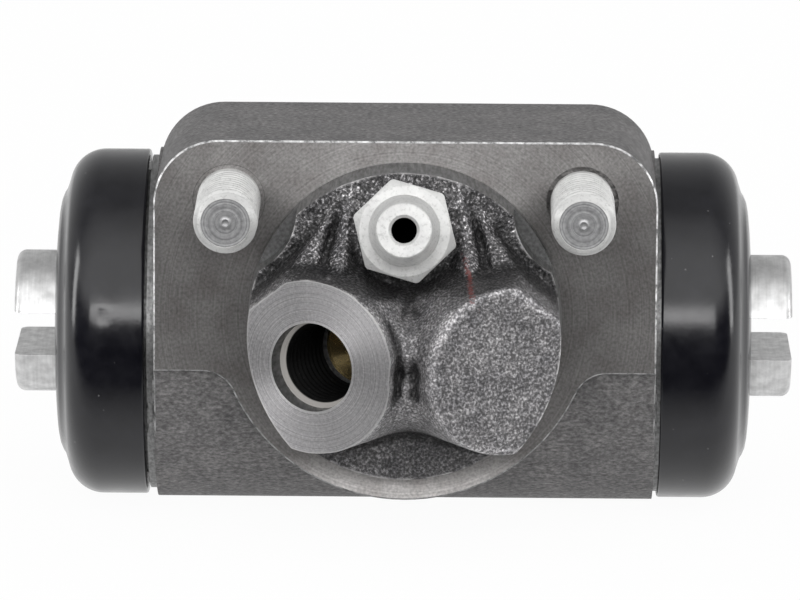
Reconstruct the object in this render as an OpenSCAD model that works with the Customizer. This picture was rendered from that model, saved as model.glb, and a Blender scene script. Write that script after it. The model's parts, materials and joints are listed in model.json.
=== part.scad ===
// Twin-piston drum brake wheel cylinder.
// X runs along the bore, -Y leaves the mounting face towards the backing plate, +Z is up.
// The origin is the centre of the spigot on the mounting face.

/* [Casting] */
// Length of the block along the bore
body_len = 60; // [50:0.5:80]
// Height of the block above the spigot's centre
face_top = 21.2; // [20:0.1:26]
// How far the flat mounting face runs below the spigot's centre
face_low = 6.9; // [4:0.1:9]
// Depth of the block behind the mounting face
block_depth = 25; // [23:0.5:30]
// Radius of the block's two upper corners
corner_r = 7.8; // [2:0.1:10]
// Radius of the round pad around the spigot
pad_r = 22.5; // [21.5:0.1:24]
// Fillet between the pad and the lower edge of the block
pad_fillet = 4; // [1:0.1:6]
// Outside radius of the barrel
barrel_r = 21.25; // [20.8:0.05:21.6]
// Distance of the bore's axis behind the mounting face
bore_back = 22; // [21.8:0.1:24]
// Distance of the bore's axis below the spigot's centre
bore_drop = 5.5; // [3:0.1:6]
// Diameter of the bore
bore_d = 28.6; // [24:0.1:30]
// Radius of the collar at each end of the barrel
collar_r = 20.3; // [19.5:0.1:20.8]
// Length of each collar
collar_len = 0.9; // [0.4:0.1:3]
// Radius of the neck that carries a boot
neck_r = 18.4; // [17.5:0.1:19]
// Length of each neck
neck_len = 4.6; // [4:0.1:8]
// Depth of the boot groove in the neck
groove_depth = 1.1; // [0.5:0.1:1.5]
// Width of the boot groove in the neck
groove_w = 2; // [1:0.1:2.4]

/* [Spigot] */
// Radius of the turned spigot
spigot_r = 18.65; // [17:0.05:20]
// Height of the spigot's plain register, which fits the plate's hole
register_h = 1.5; // [0.5:0.1:1.9]
// Draft of the spigot and its bosses above that register
spigot_draft = 1; // [0.5:0.1:3]
// Height of the spigot's cast floor above the mounting face
spigot_h = 6; // [4:0.1:8]
// Radius of the round bosses
boss_r = 10.3; // [8.5:0.1:10.5]
// Sideways place of each round boss's face centre, at the port face's height
boss_x = 10.8; // [9:0.1:12]
// Height of the round bosses' centres above the spigot's centre
boss_z = -2.9; // [-5:0.1:0]
// Height of the machined port face's centre above the mounting face
port_face_h = 15.4; // [13:0.1:18]
// Outward tilt of the round bosses
boss_tilt = 25.5; // [15:0.5:28]
// Edge break of the machined port face
port_edge = 0.1; // [0.05:0.05:0.5]
// How much longer the blank boss is than the machined one
blank_extra = 2; // [0:0.1:4]
// Rounding of the blank boss's cast edge
blank_round = 1.2; // [0.3:0.1:3]
// Distance from a stud's axis to the flat that leaves room for its nut
nut_room = 9.9; // [9:0.1:11]
// Height of the web between the round bosses
web_h = 9.5; // [7:0.1:12]
// Thickness of that web
web_t = 3.4; // [2:0.1:5]

/* [Inlet port] */
// Diameter of the port's thread
port_d = 10; // [8:0.1:11]
// Depth of the thread
port_depth = 13; // [10:0.5:14]
// Diameter of the plain counterbore at the port's mouth
port_mouth_d = 10.6; // [10.2:0.1:13]
// Depth of that counterbore
port_mouth_len = 2.3; // [0.5:0.1:4]
// Diameter of the brass pipe seat
seat_d = 9; // [6:0.1:9.4]
// Length of the pipe seat
seat_len = 3; // [2:0.1:4]
// Rim around the pipe seat's cone, and the step at its foot
seat_rim = 0.3; // [0.1:0.1:0.6]
// Diameter of the passage to the bore
passage_d = 3; // [1.5:0.1:3.6]

/* [Studs] */
// Distance between the two studs
stud_spacing = 42; // [40:0.1:46]
// Height of the studs above the spigot's centre
stud_z = 14; // [13:0.1:15]
// Diameter of the studs
stud_d = 8; // [6:0.5:10]
// Length that stands out of the mounting face
stud_out = 14; // [10:0.5:30]
// Length that is set in the casting
stud_in = 12; // [8:0.5:14]
// How much thinner the end in the casting is
set_step = 0.6; // [0.35:0.05:1]
// Width of the countersink that shows around each stud
stud_sink = 0.3; // [0.1:0.1:0.8]
// Chamfer at the stud's end
stud_chamfer = 0.9; // [0.3:0.1:1.5]
// Radius of the spot face around each stud
spot_r = 8.2; // [7:0.1:8.6]
// Height of the spot face above the mounting face
spot_h = 2; // [0.5:0.1:4]

/* [Bleed screw] */
// Height of the bleed boss's face centre above the spigot's centre
bleed_z = 11.8; // [10:0.1:12]
// Height of the bleed boss's face centre above the mounting face
bleed_h = 7.2; // [7:0.1:9]
// Upward tilt of the bleed screw
bleed_tilt = 12; // [5:1:15]
// Width of the bleed boss at the hexagon
bleed_boss_w = 15.4; // [13:0.1:18]
// How much each side of the bleed boss leans outwards towards its foot
bleed_boss_lean = 15; // [0:1:20]
// Size of the hexagon across its flats
hex_af = 11; // [9:0.1:11.2]
// Thickness of the hexagon
hex_h = 4.2; // [3:0.1:6]
// Turn of the hexagon
hex_turn = 44; // [0:1:60]
// Diameter of the bleed screw's thread
bleed_d = 10; // [8:0.1:10.4]
// Length of the thread
bleed_len = 12; // [8:0.5:13]
// Length of the sealing cone at the screw's tip
bleed_cone = 1.6; // [1:0.1:2]
// Diameter of the screw's tip
tip_d = 4; // [3:0.1:6]
// Diameter of the cross hole above the tip
cross_d = 2; // [1:0.1:3]
// Gap between the hexagon and the boss
hex_gap = 0.3; // [0.1:0.1:2]
// Length of the nipple beyond the hexagon
nipple_len = 9; // [6:0.5:12]
// Diameter of the nipple's neck
nipple_d = 6.7; // [5:0.1:7]
// Diameter of the nipple's barb
barb_d = 8.4; // [7.1:0.1:9]
// Length of the barb's front cone
barb_len = 2.2; // [1:0.1:2.8]
// Diameter of the drilled passage
bleed_hole_d = 3; // [1.5:0.1:4]

/* [Pistons] */
// Running clearance of a piston or a cup in the bore, on the radius
piston_gap = 0.05; // [0.01:0.01:0.1]
// How far a piston's head lies inside the end of its neck
head_inset = 3; // [1:0.1:5]
// Length of the piston's head
head_len = 15.5; // [10:0.5:16]
// Diameter of the piston's nose
nose_d = 17.2; // [14:0.1:18]
// Length of the nose beyond the boot's face
nose_out = 5; // [3:0.1:10]
// Rounding of the nose's edge
nose_round = 1.1; // [0.3:0.1:2]
// Width of the slot that takes the shoe
slot_w = 5.2; // [4.5:0.1:8]
// Depth of the slot
slot_depth = 5.5; // [4.5:0.1:8]
// Thickness of a cup's base
cup_base = 3; // [2:0.1:4]
// Length of a cup's lip
cup_lip = 3.6; // [2:0.1:5]
// Thickness of a cup's lip
lip_t = 2; // [1:0.1:3]
// Thickness of an expander plate
expander_t = 0.8; // [0.5:0.1:1.5]
// Mean radius of the spring
spring_r = 7.4; // [5:0.1:8]
// Diameter of the spring's wire
wire_d = 1.5; // [1:0.1:2]
// Turns of the spring
spring_turns = 6; // [4:1:8]

/* [Boots] */
// Outside radius of the boots
boot_r = 21; // [20.6:0.05:21.5]
// Length of a boot along the bore
boot_len = 10.8; // [10.5:0.1:14]
// Gap between the collar and the left boot's rim, with its piston as far out
gap_left = 0.7; // [0:0.05:1]
// Gap between the collar and the right boot's rim, with its piston as far out
gap_right = 0.05; // [0:0.05:1]
// Radius of the boot's shoulder
shoulder_r = 4.2; // [2:0.1:5]
// How far the shoulder lies behind the boot's face
shoulder_back = 1.3; // [0.5:0.1:2.5]
// Radius at which the raised face ends
face_r = 16.3; // [13:0.1:17]
// Width of the slope at the raised face's edge
face_slope = 2; // [0.5:0.1:3]
// Drop of the raised face from the nose to that slope
face_crown = 0.3; // [0.1:0.1:0.4]
// Wall of the boot
boot_wall = 1.9; // [1:0.1:2.4]
// Gap of a boot around the neck and the nose
boot_fit = 0.12; // [0.05:0.01:0.3]

/* [Hidden] */
$fn = 96;

// Overlap that keeps cuts and unions clean
e = 0.5;
// Gap around pieces that are pressed or screwed into the casting
press_gap = 0.02;

bore_r = bore_d / 2;
stud_x = stud_spacing / 2;
collar_end = body_len / 2 + collar_len;
neck_end = collar_end + neck_len;
groove_start = collar_end + (neck_len - groove_w) / 2;
nose_len = boot_len + nose_out - neck_len + head_inset;
// Height of the space that the spigot's bosses are trimmed in
hub_reach = port_face_h + blank_extra + 2 * boss_r;
hex_r = hex_af / 2 / cos(30);
bleed_r = bleed_d / 2;
bleed_seat = bleed_len + bleed_cone;
seat_bottom = port_depth + seat_len;

// How far the boot and the piston of a side stand out
function stand_out(side) = side < 0 ? gap_left : gap_right;

// Places along the bore on one side: the boot's rim and face, and the piston's two ends
function rim_x(side) = collar_end + stand_out(side);
function boot_face_x(side) = rim_x(side) + boot_len;
function head_end(side) = neck_end - head_inset + stand_out(side);
function piston_start(side) = head_end(side) - head_len;
function nose_end(side) = head_end(side) + nose_len;

// Face of an expander plate that the spring bears on
function plate_face(side) = piston_start(side) - cup_base - expander_t;

// Draws on the mounting face: x stays, y becomes height, z leaves the face
module on_face() {
    rotate([90, 0, 0]) children();
}

// Draws along the bore: z becomes X, from the middle of the bore outwards
module along_bore() {
    translate([0, bore_back, -bore_drop]) rotate([0, 90, 0]) children();
}

// The right-hand piece, or its mirror image for the left
module on_side(side) {
    mirror([side < 0 ? 1 : 0, 0, 0]) children();
}

// The port's axis on the mounting face, with z leaving the port; extra lifts the face
module boss_axis(extra = 0) {
    translate([-boss_x, boss_z, port_face_h]) rotate([0, -boss_tilt, 0])
        translate([0, 0, extra]) children();
}

// The bleed screw's axis on the mounting face, with z leaving the boss
module bleed_axis() {
    translate([0, bleed_z, bleed_h]) rotate([-bleed_tilt, 0, 0]) children();
}

// Outline of the block: square below, round corners above
module block_outline() {
    for (s = [-1, 1])
        translate([s * (body_len / 2 - corner_r), face_top - corner_r]) circle(corner_r);
    translate([-body_len / 2, -face_low]) square([body_len, face_top + face_low - corner_r]);
    translate([corner_r - body_len / 2, 0]) square([body_len - 2 * corner_r, face_top]);
}

// Lower half of the round pad, with a fillet up to the block on each side
module pad_outline() {
    fillet_z = face_low + pad_fillet;
    fillet_x = sqrt(pow(pad_r + pad_fillet, 2) - pow(fillet_z, 2));
    touch = pad_r / (pad_r + pad_fillet);
    intersection() {
        circle(pad_r);
        translate([-pad_r, -pad_r]) square([2 * pad_r, pad_r]);
    }
    for (s = [-1, 1]) difference() {
        polygon([
            [0, 0], [s * fillet_x, 0], [s * fillet_x, -face_low],
            [s * fillet_x, -fillet_z], [s * fillet_x * touch, -fillet_z * touch]
        ]);
        translate([s * fillet_x, -fillet_z]) circle(pad_fillet);
    }
}

// A cast boss of the given length beyond the port face, cut flat to clear a nut
module round_boss(extra, edge) {
    foot = port_face_h / cos(boss_tilt) - spigot_h / 2;
    difference() {
        boss_axis(extra) translate([0, 0, -foot - extra]) rotate_extrude() {
            square([boss_r - edge, foot + extra]);
            square([boss_r, foot + extra - edge]);
            translate([boss_r - edge, foot + extra - edge]) intersection() {
                circle(edge);
                square(2 * edge);
            }
        }
        translate([-stud_x, stud_z, spigot_h]) rotate(45)
            translate([-hub_reach, -nut_room, 0]) cube([2 * hub_reach, hub_reach, hub_reach]);
    }
}

// The bleed boss: its sides lean outwards from the top to the foot
module bleed_boss() {
    top = spigot_r;
    foot = bleed_z - boss_z;
    lean = tan(bleed_boss_lean);
    half = bleed_boss_w / 2;
    bleed_axis() translate([0, 0, -bleed_h]) linear_extrude(bleed_h) polygon([
        [-half - foot * lean, -foot], [half + foot * lean, -foot],
        [half - top * lean, top], [top * lean - half, top]
    ]);
}

// The spigot with its bosses, all turned to a plain register with a slight draft above it,
// and spot-faced around the studs
module spigot() {
    top_r = spigot_r - hub_reach * tan(spigot_draft);
    difference() {
        intersection() {
            union() {
                translate([0, 0, -e]) cylinder(r = spigot_r, h = register_h + e);
                translate([0, 0, register_h]) cylinder(r1 = spigot_r, r2 = top_r, h = hub_reach);
            }
            union() {
                translate([0, 0, -2 * e]) cylinder(r = spigot_r + e, h = spigot_h + 2 * e);
                bleed_boss();
                round_boss(0, port_edge);
                on_side(-1) round_boss(blank_extra, blank_round);
                translate([-boss_r / 2, boss_z - boss_r, 0]) cube([boss_r, web_t, web_h]);
            }
        }
        for (s = [-1, 1])
            translate([s * stud_x, stud_z, spot_h]) cylinder(r = spot_r, h = hub_reach);
    }
}

// The tapped inlet port, its seat and the passage into the bore
module port_cut() {
    reach = (port_face_h + bore_back) / cos(boss_tilt);
    boss_axis() {
        translate([0, 0, -port_depth]) cylinder(d = port_d, h = port_depth);
        translate([0, 0, -port_mouth_len]) cylinder(d = port_mouth_d, h = port_mouth_len + 2 * boss_r);
        translate([0, 0, -seat_bottom]) cylinder(d = seat_d, h = seat_len + e);
        translate([0, 0, -reach]) cylinder(d = passage_d, h = reach);
    }
}

// The tapped hole of the bleed screw, its coned seat and the passage into the bore
module bleed_cut() {
    bleed_axis() {
        hole_r = bleed_r + piston_gap;
        translate([0, 0, -bleed_len - 2 * hex_gap]) cylinder(r = hole_r, h = bleed_len + hub_reach);
        translate([0, 0, -bleed_seat - 2 * hex_gap]) cylinder(d1 = bleed_hole_d, r2 = hole_r, h = bleed_cone);
        translate([0, 0, -bore_back - bleed_h]) cylinder(d = bleed_hole_d, h = bore_back + bleed_h);
    }
}

// Barrel with a collar and a grooved neck at each end
module barrel() {
    along_bore() {
        cylinder(r = barrel_r, h = body_len, center = true);
        cylinder(r = collar_r, h = 2 * collar_end, center = true);
        difference() {
            cylinder(r = neck_r, h = 2 * neck_end, center = true);
            for (s = [0, 1]) mirror([0, 0, s]) translate([0, 0, groove_start]) difference() {
                cylinder(r = neck_r + e, h = groove_w);
                translate([0, 0, -e]) cylinder(r = neck_r - groove_depth, h = groove_w + 2 * e);
            }
        }
    }
}

// Hole of a stud, with its countersink in the mounting face
module stud_hole() {
    set_r = (stud_d - set_step) / 2 + press_gap;
    sink = set_step / 2 + stud_sink;
    translate([0, 0, -stud_in - press_gap]) cylinder(r = set_r, h = stud_in + e);
    translate([0, 0, -sink]) cylinder(r1 = set_r, r2 = set_r + 2 * sink, h = 2 * sink);
}

module body() {
    color([0.42, 0.41, 0.41]) difference() {
        union() {
            on_face() translate([0, 0, -block_depth]) linear_extrude(block_depth) block_outline();
            on_face() translate([0, 0, -bore_back]) linear_extrude(bore_back) pad_outline();
            barrel();
            on_face() spigot();
        }
        along_bore() cylinder(r = bore_r, h = 2 * neck_end + 2 * e, center = true);
        on_face() for (s = [-1, 1]) translate([s * stud_x, stud_z, 0]) stud_hole();
        on_face() port_cut();
        on_face() bleed_cut();
    }
}

// Threaded stud: one end set in the casting, the other chamfered
module stud(side) {
    color([0.80, 0.80, 0.80]) on_face() translate([side * stud_x, stud_z, 0]) {
        translate([0, 0, -stud_in]) cylinder(d = stud_d - set_step, h = stud_in + e);
        cylinder(d = stud_d, h = stud_out - stud_chamfer);
        translate([0, 0, stud_out - stud_chamfer])
            cylinder(d1 = stud_d, d2 = stud_d - 2 * stud_chamfer, h = stud_chamfer);
    }
}

module stud_left() {
    stud(-1);
}

module stud_right() {
    stud(1);
}

// Bleed screw: coned tip and thread in the boss, hexagon, barbed nipple and a drilled passage
module bleed_screw() {
    barb_x = hex_gap + hex_h + nipple_len - 2 * barb_len;
    color([0.82, 0.81, 0.79]) on_face() bleed_axis() difference() {
        union() {
            translate([0, 0, -bleed_len]) cylinder(r = bleed_r, h = bleed_len + hex_gap + e);
            translate([0, 0, -bleed_seat]) cylinder(d1 = tip_d, r2 = bleed_r, h = bleed_cone);
            translate([0, 0, hex_gap]) rotate(hex_turn) cylinder(r = hex_r, h = hex_h, $fn = 6);
            translate([0, 0, hex_gap + hex_h - e]) cylinder(d = nipple_d, h = nipple_len + e);
            translate([0, 0, barb_x]) cylinder(d1 = nipple_d, d2 = barb_d, h = barb_len / 2);
            translate([0, 0, barb_x + barb_len / 2]) cylinder(d1 = barb_d, d2 = nipple_d, h = barb_len);
        }
        translate([0, 0, -bleed_len / 2]) cylinder(d = bleed_hole_d, h = bleed_len + hex_h + 2 * nipple_len);
        translate([0, 0, -bleed_len / 2]) rotate([0, 90, 0])
            cylinder(d = cross_d, h = 2 * bleed_d, center = true);
    }
}

// Pipe seat: a brass ring with a hollow cone, pressed into the bottom of the port
module pipe_seat() {
    color([0.71, 0.58, 0.30]) on_face() boss_axis() translate([0, 0, -seat_bottom]) difference() {
        cylinder(r = seat_d / 2 - press_gap, h = seat_len);
        translate([0, 0, -e]) cylinder(d = passage_d, h = seat_len);
        translate([0, 0, seat_rim])
            cylinder(d1 = passage_d, d2 = seat_d - 2 * seat_rim, h = seat_len - seat_rim + press_gap);
    }
}

// Piston: a head that runs in the bore and a slotted nose with a rounded edge
module piston(side) {
    nose_r = nose_d / 2;
    color([0.76, 0.76, 0.76]) on_side(side) along_bore() difference() {
        union() {
            translate([0, 0, piston_start(side)]) cylinder(r = bore_r - piston_gap, h = head_len);
            translate([0, 0, head_end(side) - e]) rotate_extrude() {
                square([nose_r - nose_round, nose_len + e]);
                square([nose_r, nose_len + e - nose_round]);
                translate([nose_r - nose_round, nose_len + e - nose_round]) intersection() {
                    circle(nose_round);
                    square(2 * nose_round);
                }
            }
        }
        translate([-slot_w / 2, -nose_d, nose_end(side) - slot_depth])
            cube([slot_w, 2 * nose_d, slot_depth + e]);
    }
}

module piston_left() {
    piston(-1);
}

module piston_right() {
    piston(1);
}

// Cup seal: a rubber disc against the piston, with a lip that the pressure spreads
module cup(side) {
    cup_r = bore_r - piston_gap;
    length = cup_base + cup_lip;
    color([0.10, 0.10, 0.10]) on_side(side) along_bore() translate([0, 0, piston_start(side) - length])
        rotate_extrude() polygon([
            [0, cup_lip], [0, length], [cup_r - e, length], [cup_r - e, cup_lip],
            [cup_r, cup_lip / 2], [cup_r, 0], [cup_r - lip_t / 2, 0], [cup_r - e - lip_t, cup_lip]
        ]);
}

module cup_left() {
    cup(-1);
}

module cup_right() {
    cup(1);
}

// Expander: a pressed steel plate in the cup, with a raised centre that keeps the spring in place
module expander(side) {
    plate_r = bore_r - piston_gap - e - lip_t - 2 * boot_fit;
    dimple_r = spring_r - wire_d / 2 - 2 * boot_fit;
    color([0.62, 0.62, 0.60]) on_side(side) along_bore() {
        translate([0, 0, plate_face(side)]) cylinder(r = plate_r, h = expander_t);
        translate([0, 0, plate_face(side) - 2 * expander_t])
            cylinder(r1 = dimple_r - expander_t, r2 = dimple_r, h = 2 * expander_t);
    }
}

module expander_left() {
    expander(-1);
}

module expander_right() {
    expander(1);
}

// Spring: round wire wound along the bore between the two plates
module spring() {
    sides = 8;
    steps = 16 * spring_turns;
    travel = plate_face(-1) + plate_face(1) - wire_d - 2 * press_gap;
    middle = (plate_face(1) - plate_face(-1)) / 2;
    function ring(i) = let (
        turn = 360 * spring_turns * i / steps,
        along = middle + travel * (i / steps - 0.5)
    ) [
        for (k = [0:sides - 1]) let (
            a = 360 * k / sides,
            r = spring_r + wire_d / 2 * cos(a)
        ) [r * cos(turn), r * sin(turn), along + wire_d / 2 * sin(a)]
    ];
    points = [for (i = [0:steps]) each ring(i)];
    walls = [
        for (i = [0:steps - 1], k = [0:sides - 1]) let (
            j = i * sides,
            n = (k + 1) % sides
        ) [j + k, j + sides + k, j + sides + n, j + n]
    ];
    start_cap = [for (k = [0:sides - 1]) k];
    end_cap = [for (k = [sides - 1:-1:0]) steps * sides + k];
    color([0.55, 0.56, 0.58]) along_bore()
        polyhedron(points, concat(walls, [start_cap, end_cap]));
}

// Boot: a moulded cap with a raised face, a round shoulder and a bead that grips the neck's groove
module boot(side) {
    inner_r = boot_r - boot_wall;
    hole_r = nose_d / 2 + boot_fit;
    neck_fit = neck_r + boot_fit;
    rim = rim_x(side);
    shoulder_x = boot_face_x(side) - shoulder_back;
    cavity_end = shoulder_x - boot_wall;
    bead_x = groove_start + boot_fit;
    bead_w = groove_w - 2 * boot_fit;
    color([0.09, 0.09, 0.10]) on_side(side) along_bore() {
        difference() {
            union() {
                translate([0, 0, rim]) rotate_extrude() {
                    length = shoulder_x - rim;
                    square([boot_r - shoulder_r, length]);
                    square([boot_r, length - shoulder_r]);
                    translate([boot_r - shoulder_r, length - shoulder_r]) intersection() {
                        circle(shoulder_r);
                        square(2 * shoulder_r);
                    }
                }
                translate([0, 0, shoulder_x - e]) rotate_extrude() polygon([
                    [0, 0], [face_r, 0], [face_r, e],
                    [face_r - face_slope, e + shoulder_back - face_crown],
                    [hole_r, e + shoulder_back], [0, e + shoulder_back]
                ]);
            }
            translate([0, 0, rim - e]) cylinder(r = neck_fit, h = neck_end - rim + e + boot_fit);
            translate([0, 0, neck_end]) rotate_extrude() {
                length = cavity_end - neck_end;
                square([inner_r - shoulder_r + boot_wall, length]);
                square([inner_r, length - shoulder_r + boot_wall]);
                translate([boot_r - shoulder_r, length - shoulder_r + boot_wall]) intersection() {
                    circle(shoulder_r - boot_wall);
                    square(2 * shoulder_r);
                }
            }
            translate([0, 0, rim]) cylinder(r = hole_r, h = 2 * boot_len);
        }
        translate([0, 0, bead_x]) difference() {
            cylinder(r = neck_fit + e, h = bead_w);
            translate([0, 0, -e]) cylinder(r = neck_r - groove_depth + boot_fit, h = bead_w + 2 * e);
        }
    }
}

module boot_left() {
    boot(-1);
}

module boot_right() {
    boot(1);
}

body();
stud_left();
stud_right();
bleed_screw();
pipe_seat();
spring();
piston_left();
piston_right();
cup_left();
cup_right();
expander_left();
expander_right();
boot_left();
boot_right();
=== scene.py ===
import json
import math

import bmesh
import bpy
import numpy as np
from mathutils import Matrix, Vector


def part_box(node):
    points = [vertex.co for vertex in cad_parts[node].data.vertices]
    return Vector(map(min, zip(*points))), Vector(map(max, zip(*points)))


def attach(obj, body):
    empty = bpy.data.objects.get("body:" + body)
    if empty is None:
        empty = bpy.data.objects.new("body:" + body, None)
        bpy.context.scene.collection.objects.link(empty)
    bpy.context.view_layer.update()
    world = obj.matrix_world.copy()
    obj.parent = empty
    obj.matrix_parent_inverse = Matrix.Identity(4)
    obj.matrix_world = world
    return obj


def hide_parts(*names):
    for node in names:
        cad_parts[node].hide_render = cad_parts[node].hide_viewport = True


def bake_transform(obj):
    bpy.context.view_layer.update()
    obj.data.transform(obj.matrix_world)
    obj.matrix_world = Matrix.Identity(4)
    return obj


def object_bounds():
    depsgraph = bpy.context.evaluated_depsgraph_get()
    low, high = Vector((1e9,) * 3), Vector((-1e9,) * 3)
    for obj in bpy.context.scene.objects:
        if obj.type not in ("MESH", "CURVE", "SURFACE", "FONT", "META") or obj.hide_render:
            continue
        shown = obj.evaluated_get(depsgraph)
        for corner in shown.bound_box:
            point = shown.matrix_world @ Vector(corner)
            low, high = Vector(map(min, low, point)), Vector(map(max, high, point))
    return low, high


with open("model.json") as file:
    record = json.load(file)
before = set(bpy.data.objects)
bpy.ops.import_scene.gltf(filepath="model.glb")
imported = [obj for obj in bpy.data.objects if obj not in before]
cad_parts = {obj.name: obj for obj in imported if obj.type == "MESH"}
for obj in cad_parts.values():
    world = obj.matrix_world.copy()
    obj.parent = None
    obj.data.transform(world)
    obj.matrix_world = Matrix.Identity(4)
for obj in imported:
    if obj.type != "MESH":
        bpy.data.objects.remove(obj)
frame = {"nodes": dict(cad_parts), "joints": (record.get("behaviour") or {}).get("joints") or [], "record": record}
cad_low, cad_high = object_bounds()

# Casting
# One grey iron sand casting: a block with a round pad, a barrel, and a hub of bosses inside the spigot.
# The hub is cast rough first, and then the lathe, the spot facer, the port tool and the drills cut into it.
mm = 0.001
mounts = {m["name"]: m for m in frame["record"]["mounts"]}
joints = {j["name"]: j for j in frame["joints"]}
spigot_r = mounts["spigot"]["dims"]["r_mm"] * mm
stud_x = mounts["mounting_studs"]["dims"]["spacing_x_mm"] * mm / 2
stud_z = mounts["mounting_studs"]["pos_m"][2]
port_r = mounts["inlet_port"]["dims"]["r_mm"] * mm
port_axis = np.array(mounts["inlet_port"]["axis"])
port_over = 5 * mm
port_mouth = np.array(mounts["inlet_port"]["pos_m"]) + port_over * port_axis
bleed_axis = np.array(joints["bleed_screw_turn"]["axis"])
bleed_seat = np.array(joints["bleed_screw_turn"]["pos_m"])

hub_floor = 5.9 * mm
hub_step = 0.15 * mm
hub_half = 19.5 * mm


def smooth_max(a, b, width):
    """The higher of two height fields, with a round blend where they are closer than width."""
    near = np.clip(1 - np.abs(a - b) / width, 0, None)
    return np.maximum(a, b) + near * near * width / 4


def lattice_noise(x, z, cell, seed):
    """Random values from -1 to 1 on a square lattice of the given cell, joined by smooth steps."""
    table = np.random.default_rng(seed).uniform(-1, 1, (400, 400))
    u, v = x / cell + 200, z / cell + 200
    i, j = np.floor(u).astype(int), np.floor(v).astype(int)
    s, t = u - i, v - j
    s, t = s * s * (3 - 2 * s), t * t * (3 - 2 * t)
    low = table[i, j] * (1 - s) + table[i + 1, j] * s
    high = table[i, j + 1] * (1 - s) + table[i + 1, j + 1] * s
    return low * (1 - t) + high * t


def soften(field, reach):
    """A height field averaged over its neighbours with a bell of the given reach, in grid steps."""
    taps = np.arange(-int(3 * reach), int(3 * reach) + 1)
    shares = np.exp(-0.5 * (taps / reach) ** 2)
    shares = shares / shares.sum()
    for way in (0, 1):
        field = sum(share * np.roll(field, tap, way) for tap, share in zip(taps, shares))
    return field


def fade(gap, length):
    """A straight step: 0 where the gap is below 0, and 1 where it is past the length."""
    return np.clip(gap / length, 0, 1)


def bell(value, middle, reach):
    """A smooth ridge: 1 at the middle, falling off on both sides within about the reach."""
    return np.exp(-((value - middle) / reach) ** 2)


boss_r = 10.3 * mm
boss_draft = math.tan(math.radians(3))
boss_tilt = math.asin(-port_axis[0])
boss_steep = 14
boss_x, port_h, boss_z = -port_mouth[0], -port_mouth[1], port_mouth[2]


def boss_height(x, z, side, extra, edge):
    """Height of a round boss that leans outwards: its flat end, rounded over at the edge, or the sloping
    wall where a plumb line meets the drafted cylinder, which is the root of a square equation in depth."""
    lean, rise = math.sin(boss_tilt), math.cos(boss_tilt)
    u, v = boss_x - side * x, z - boss_z
    end = port_h + extra / rise + u * lean / rise
    out = np.hypot((u + extra * lean) / rise, v) - boss_r
    inner = np.clip(edge + out, 0, edge)
    end = end - (edge - np.sqrt(edge * edge - inner * inner)) if edge else end
    a = lean * lean - boss_draft ** 2
    b = u * lean * rise + boss_r * boss_draft
    c = (u * rise) ** 2 + v * v - boss_r ** 2
    root = np.sqrt(np.clip(b * b - a * c, 0, None))
    meets = (b * b > a * c) & (b > 0)
    wall = np.where(meets, port_h - c / np.where(meets, b + root, 1), -1)
    return np.minimum(end, np.maximum(wall, end - boss_steep * np.clip(out, 0, None)))


apron, apron_slope, apron_fade, apron_blend = 6.2 * mm, 1.35, 4 * mm, 1.2 * mm


def foot_height(x, z, side):
    """A sloping apron where a boss meets the hub's floor, by the distance from the boss's foot; it fades
    out below the middle of the hub."""
    rise = math.cos(boss_tilt)
    depth = port_h - hub_floor
    u, v = boss_x - side * x - depth * math.tan(boss_tilt), z - boss_z
    gap = np.hypot(u * rise, v) - boss_r - depth * boss_draft
    return hub_floor + apron * fade(z, apron_fade) - apron_slope * np.clip(gap, 0, None)


wing_top, wing_drop, wing_slope = 17 * mm, 10 * mm, 0.34
wing_half, wing_fade, wing_end = 15.5 * mm, 6 * mm, 3 * mm
wing_shoulder, wing_fall = 12 * mm, 0.6


def wing_height(x, z):
    """How far the floor beside the bleed boss stands up: it climbs on the way down to the round bosses,
    drops towards the spigot's wall, and ends at the middle of the hub."""
    climb = wing_slope * np.clip(wing_top - z, 0, wing_drop) * fade(wing_half - np.abs(x), wing_fade)
    drop = wing_fall * np.clip(np.abs(x) - wing_shoulder, 0, None)
    return (climb - drop) * fade(z, wing_end)


bleed_half, bleed_low = 7.8 * mm, 6.8 * mm
bleed_lean = math.tan(math.radians(15))


def bleed_gap(x, z):
    """How far a place lies outside the bleed boss, whose two sides lean outwards as they go down."""
    return np.abs(x) - bleed_half - (bleed_seat[2] - z) * bleed_lean


pocket_top, pocket_fade, pocket_low, pocket_rise = -1 * mm, 2.4 * mm, -6.9 * mm, 0.9 * mm
slot_depth, hollow_depth, hollow_low = 1.3 * mm, 1.5 * mm, -4.8 * mm


def pocket_depth(x, z):
    """The pocket between the round bosses: two narrow slots in one wide hollow, within a band of heights
    that ends softly above and sharply below."""
    band = np.minimum(fade(pocket_top - z, pocket_fade), fade(z - pocket_low, pocket_rise))
    slots = bell(x, -0.85 * mm, 0.55 * mm) + bell(x, 1.35 * mm, 0.5 * mm)
    hollow = bell(x, 0.3 * mm, 1.8 * mm) * (0.5 + fade(z - hollow_low, mm))
    return band * (slot_depth * slots + hollow_depth * hollow)


port_shift, port_extra = 0.5 * mm, 1.5 * mm
beside_depth, beside_place, beside_reach = 1.3 * mm, 0.6 * mm, 0.5 * mm
beside_low, beside_high, beside_fade, beside_x = -8 * mm, 5 * mm, 3 * mm, -4 * mm


def beside_port(x, z):
    """A groove along the inner side of the port boss: a bell across the distance from the boss's rim,
    within a band of heights."""
    gap = np.hypot((boss_x + x - port_shift) / math.cos(boss_tilt), z - boss_z) - boss_r
    band = np.minimum(fade(z - beside_low, beside_fade), fade(beside_high - z, beside_fade))
    return beside_depth * (band * (x > beside_x)) * bell(gap, beside_place, beside_reach)


nut_room, nut_curve, nut_floor, nut_wall = 9.3 * mm, 70 * mm, 0.2 * mm, 12


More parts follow.
